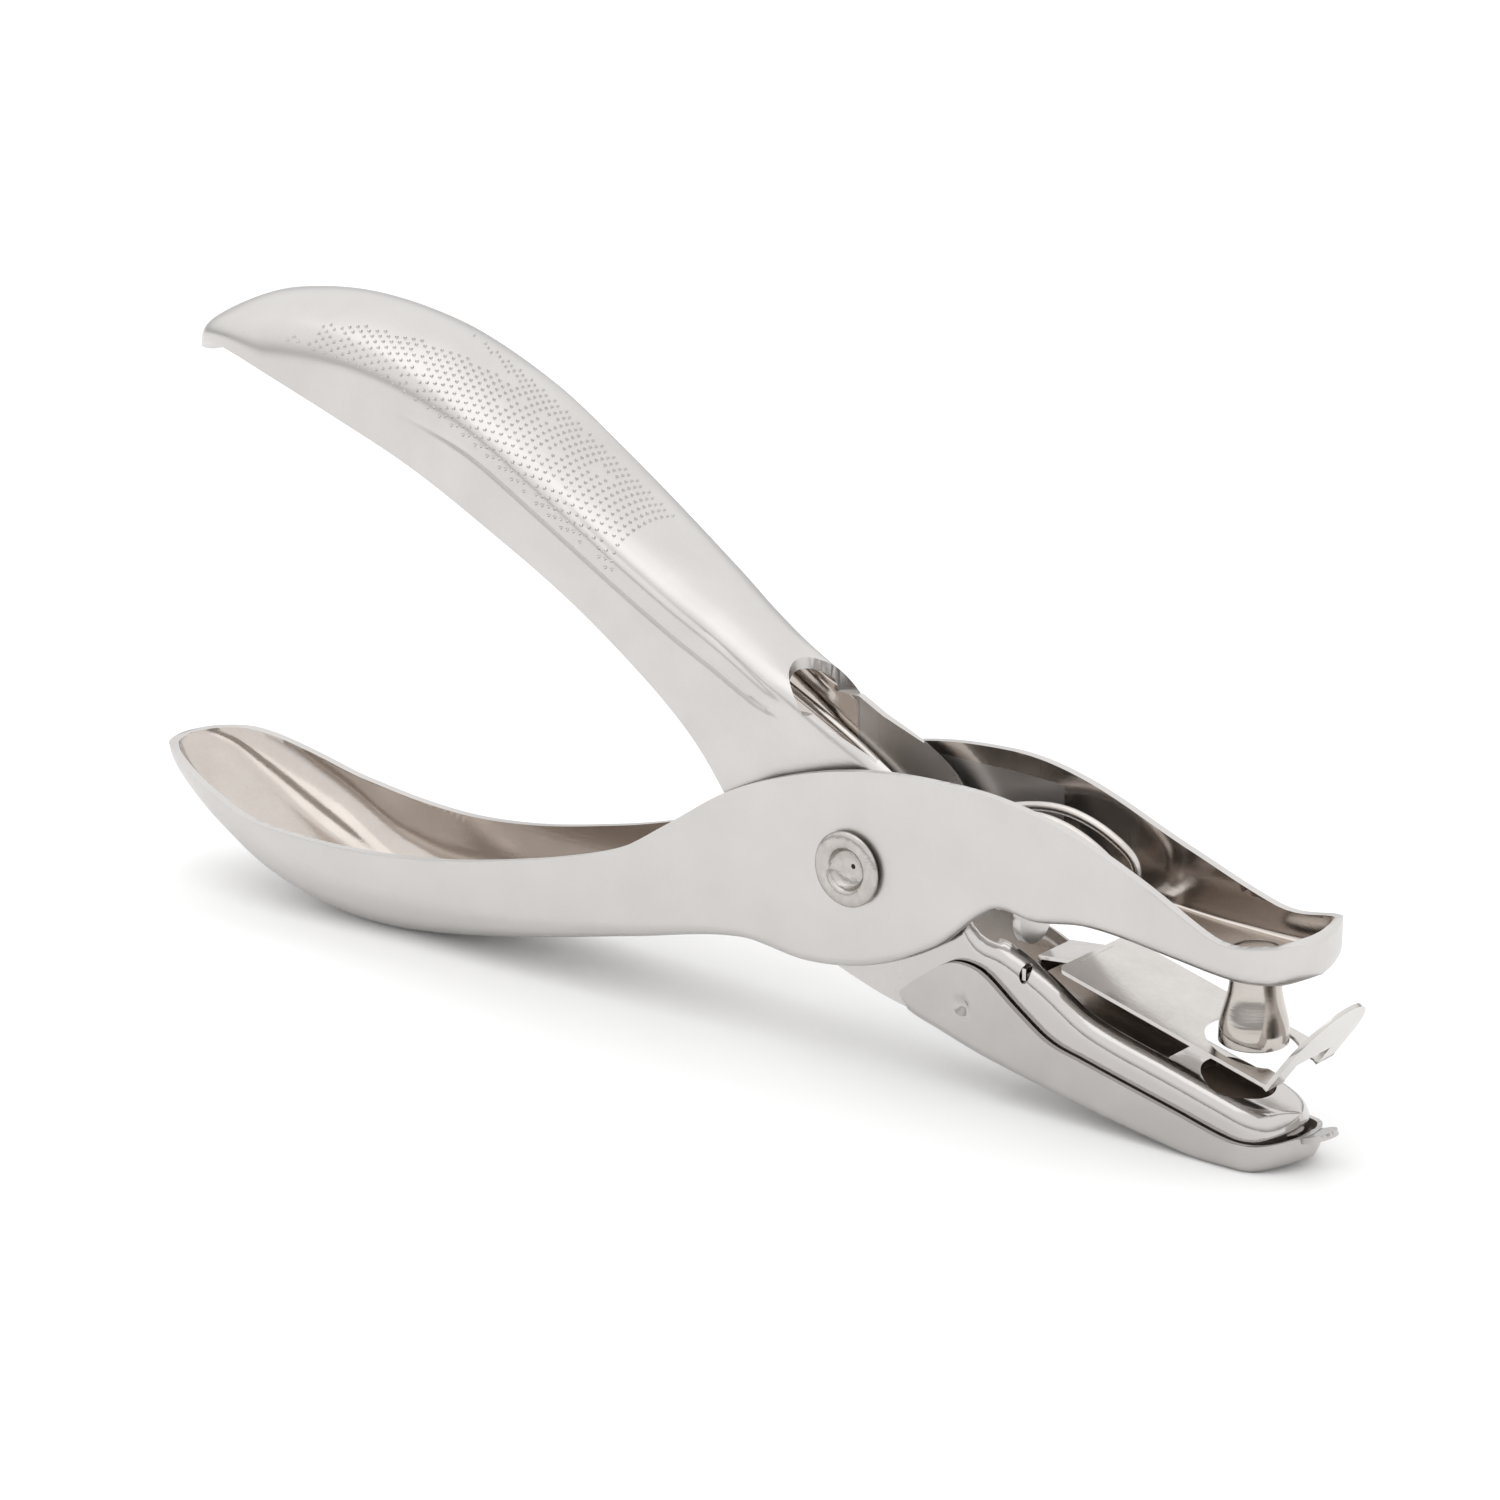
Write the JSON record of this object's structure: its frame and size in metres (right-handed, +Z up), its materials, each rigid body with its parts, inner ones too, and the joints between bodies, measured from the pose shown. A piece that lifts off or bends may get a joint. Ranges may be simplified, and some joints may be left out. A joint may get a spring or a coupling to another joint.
{
  "type": "hand-held hole punch",
  "caption": "Hand-held craft punch of nickel-plated pressed steel: two hinged channel levers, a round punch over a die, a stripper plate and a swing-down chip tray.",
  "frame": {"origin": "under the middle of the tool's box, on the table it stands on", "axes": "+X from the handles towards the jaws, +Y across the tool along the pivot, +Z up"},
  "size_m": [0.1362, 0.017, 0.0607],
  "materials": {
    "nickel": "satin nickel plate on pressed steel, polished on bends",
    "fastener": "nickel plate, rough rolled-over rim",
    "tool_steel": "turned and polished",
    "spring_wire": "drawn wire, bright"
  },
  "bodies": {
    "punch_body": {"punch_lever": "nickel", "pivot_rivet": "fastener", "pivot_sleeve": "fastener", "pivot_washer_near": "fastener", "pivot_washer_far": "fastener", "punch_pin": "tool_steel", "return_spring": "spring_wire"},
    "die_body": {"die_lever": "nickel", "stripper_plate": "nickel"},
    "tray_body": {"chip_tray": "nickel"}
  },
  "joints": [
    {"name": "squeeze", "type": "hinge", "parent": "punch_body", "child": "die_body", "pos_m": [0.02011, 0, 0.0188], "axis": [0, -1, 0], "range_deg": [0, 9], "stiffness_Nm_per_rad": 3, "springref_deg": -14.32, "deforming": ["return_spring"]},
    {"name": "tray_open", "type": "hinge", "parent": "die_body", "child": "tray_body", "pos_m": [0.03152, 0, 0.0083], "axis": [0, 1, 0], "range_deg": [0, 70]}
  ]
}
